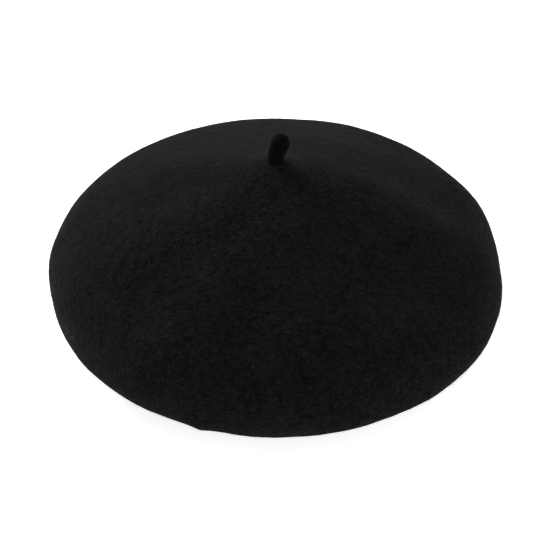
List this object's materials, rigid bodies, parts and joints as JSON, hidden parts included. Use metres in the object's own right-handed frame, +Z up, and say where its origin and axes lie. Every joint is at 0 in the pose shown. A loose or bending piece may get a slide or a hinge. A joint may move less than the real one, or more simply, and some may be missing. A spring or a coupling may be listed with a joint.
{
  "type": "beret",
  "caption": "Round flat felt beret with a short leaning stem at the crown and a leather sweatband inside its opening.",
  "frame": {"origin": "centre of the opening, on the surface the beret rests on", "axes": "+Z up through the crown, +Y to the back of the head where the bow and the sweatband's joint are, +X to the side the stem leans to"},
  "size_m": [0.28, 0.28, 0.1279],
  "materials": {
    "wool_felt": "brushed wool felt with a short nap, matt with a soft sheen at grazing angles",
    "stem_felt": "hard rolled felt, matt",
    "sweatband_leather": "fine-grained, semi-matt",
    "cotton_tape": "woven cotton, matt",
    "grosgrain": "ribbed ribbon, soft sheen",
    "satin_label": "woven satin, blank",
    "sewing_thread": "twisted polyester thread",
    "label_thread": "twisted polyester thread"
  },
  "bodies": {
    "hat": {"felt_body": "wool_felt", "stem_root": "stem_felt", "stem_backing_disc": "wool_felt", "stem_tack_stitches": "sewing_thread", "sweatband": "sweatband_leather", "sweatband_backing_tape": "cotton_tape", "sweatband_joint_stitches": "sewing_thread", "stay_tape": "cotton_tape", "hem_stitches": "sewing_thread", "bow_ribbon": "grosgrain", "bow_knot": "grosgrain", "bow_tack_stitch": "sewing_thread", "size_label": "satin_label", "size_label_stitches": "label_thread", "care_label_sewn_edge": "satin_label", "care_label_stitches": "label_thread"},
    "stem": {"stem": "stem_felt"},
    "care_label": {"care_label_flap": "satin_label"}
  },
  "joints": [
    {"name": "stem_bend", "type": "hinge", "parent": "hat", "child": "stem", "pos_m": [0, 0, 0.1135], "axis": [0, 1, 0], "range_deg": [-48.5, 11.5], "stiffness_Nm_per_rad": 0.004},
    {"name": "care_label_swing", "type": "hinge", "parent": "hat", "child": "care_label", "pos_m": [0.08818, 0, 0.02145], "axis": [0, 1, 0], "range_deg": [0, 110]}
  ]
}
